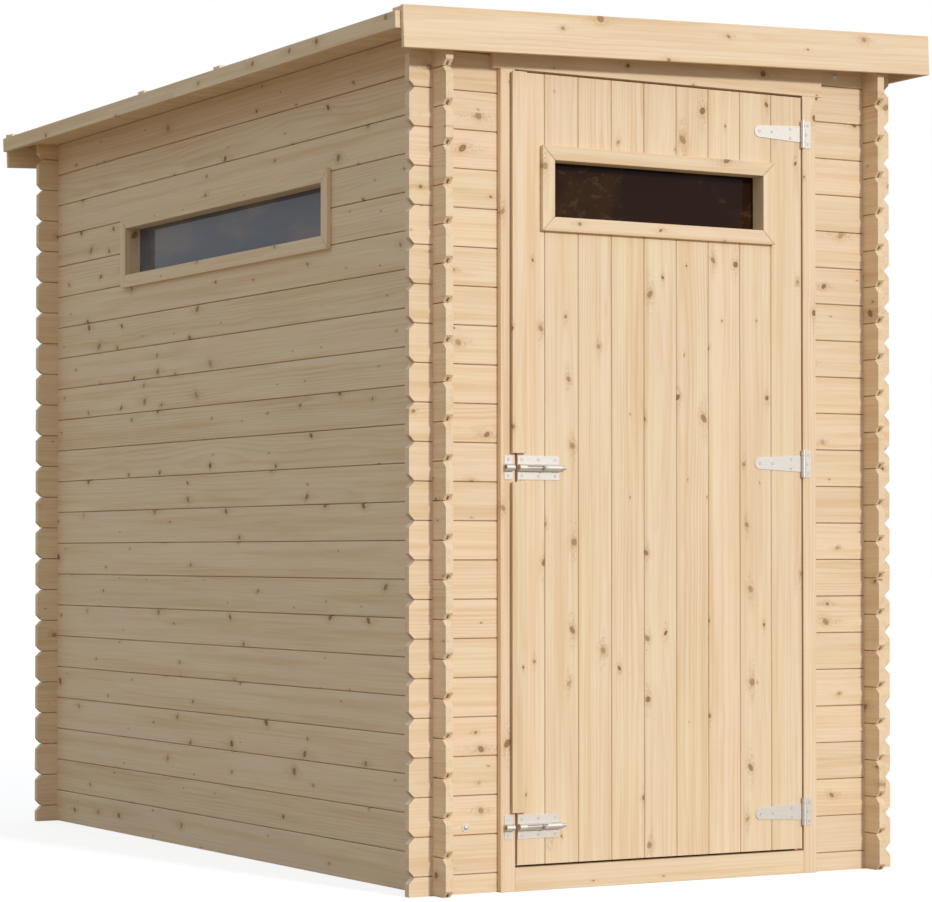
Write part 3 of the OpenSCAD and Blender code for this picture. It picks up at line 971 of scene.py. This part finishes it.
def spreadTree():
    # puts one head at each vertex of the base mesh, each with a turn of its own
    sockets = {"Geometry": "Geometry", "Head": "Object", "Seed": "Int", "Metal": "Material"}
    g = GeometryTree("spreadHeads", sockets)
    head = g.add("GeometryNodeObjectInfo", None, {"Object": g.given("Head")}, "Geometry")
    turnInputs = {0: (0, 0, 0), 1: (0, math.pi / 2, 0), "Seed": g.given("Seed")}
    turn = g.add("FunctionNodeRandomValue", {"data_type": "FLOAT_VECTOR"}, turnInputs)
    layInputs = {"Points": g.given("Geometry"), "Instance": head, "Rotation": turn}
    lay = g.add("GeometryNodeInstanceOnPoints", None, layInputs)
    return g.finish(lay, g.given("Metal"))


spreadHeads = spreadTree()


def spread(name, places, head, seed, body):
    base = bpy.data.meshes.new(name)
    base.from_pydata(places, [], [])
    made = runTree(name, spreadHeads, base, {"Head": head, "Seed": seed, "Metal": zinc})
    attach(made, body)


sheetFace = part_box("hinge_strap_top")[1].y - hingeScrews["sheet"]
doorPlaces, shedPlaces = [], []
for level in ("top", "middle", "bottom"):
    low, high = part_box("hinge_strap_" + level)
    pin, middle = high.x - hingeScrews["pinInset"], (low.z + high.z) / 2
    for back, up in hingeScrews["strap"]:
        doorPlaces.append((pin - back, sheetFace, middle + up))
    low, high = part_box("hinge_plate_" + level)
    for inset, up in hingeScrews["plate"]:
        shedPlaces.append((high.x - inset, sheetFace, middle + up))
for level in ("upper", "lower"):
    low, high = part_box("bolt_case_" + level)
    middle = (low.z + high.z) / 2
    for share in boltScrews["shares"]:
        across = low.x + (high.x - low.x) * share
        for side in (-1, 1):
            doorPlaces.append((across, sheetFace, middle + side * boltScrews["off"]))
    low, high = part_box("bolt_keeper_" + level)
    for side in (-1, 1):
        shedPlaces.append(((low.x + high.x) / 2, sheetFace, middle + side * boltScrews["off"]))
screwSource = screwHead()
spread("doorScrews", doorPlaces, screwSource, 3, "door")
spread("shedScrews", shedPlaces, screwSource, 4, "shed")
bpy.data.objects.remove(screwSource)
capSource = boltCap()
capPlaces = [(corner.x + x, corner.y, z) for x, z in boltHead["places"]]
spread("braceBoltCaps", capPlaces, capSource, 6, "shed")
bpy.data.objects.remove(capSource)
print("screws and bolt caps set")

# The CAD pieces that stay get their metal or glass
finishes = {
    "door_glass": brownGlass,
    "side_window_glass": greyGlass,
    "bolt_rod_upper": brightZinc,
    "bolt_rod_lower": brightZinc,
}
for node, made in frame["nodes"].items():
    if not made.hide_render:
        made.data.materials.clear()
        made.data.materials.append(finishes.get(node, zinc))

# Floor: white to the camera, and it keeps a soft shadow
floorLook = {"size": 60.0, "own": 0.72, "lit": (0.45, 0.45, 0.45), "bounce": (0.41, 0.35, 0.27)}
s = Shader("floor")
seen = s.add("ShaderNodeLightPath", None, None, "Is Camera Ray")
floorColour = s.mix(seen, (*floorLook["bounce"], 1), (*floorLook["lit"], 1))
lit = s.add("ShaderNodeBsdfDiffuse", None, {"Color": floorColour})
own = s.add("ShaderNodeEmission", None, {"Color": (1, 1, 1, 1), "Strength": seen * floorLook["own"]})
s.add("ShaderNodeOutputMaterial", None, [s.add("ShaderNodeAddShader", None, [lit, own])])
bm = bmesh.new()
bmesh.ops.create_grid(bm, x_segments=1, y_segments=1, size=floorLook["size"])
floor = newObject("floor", meshFrom(bm, "floor"))
floor.data.materials.append(s.owner)

# Light: a soft low sun from the front, and a pale sky that fills the shade
lighting = {"sun": 1.94, "turn": 9.0, "height": 19.0, "softness": 5.0, "sky": (0.575, 0.62, 0.66)}
sunData = bpy.data.lights.new("sun", "SUN")
sunData.energy = lighting["sun"]
sunData.angle = math.radians(lighting["softness"])
sun = bpy.data.objects.new("sun", sunData)
sun.rotation_euler = (math.radians(90 - lighting["height"]), 0, math.radians(lighting["turn"]))
bpy.context.scene.collection.objects.link(sun)

s = Shader("sky", bpy.data.worlds)
seen = s.add("ShaderNodeLightPath", None, None, "Is Camera Ray")
background = s.add("ShaderNodeBackground", None, {"Color": s.mix(seen, (*lighting["sky"], 1), (1, 1, 1, 1))})
s.add("ShaderNodeOutputWorld", None, [background])
bpy.context.scene.world = s.owner

bpy.context.scene.view_settings.view_transform = "Standard"
print("floor and light set")
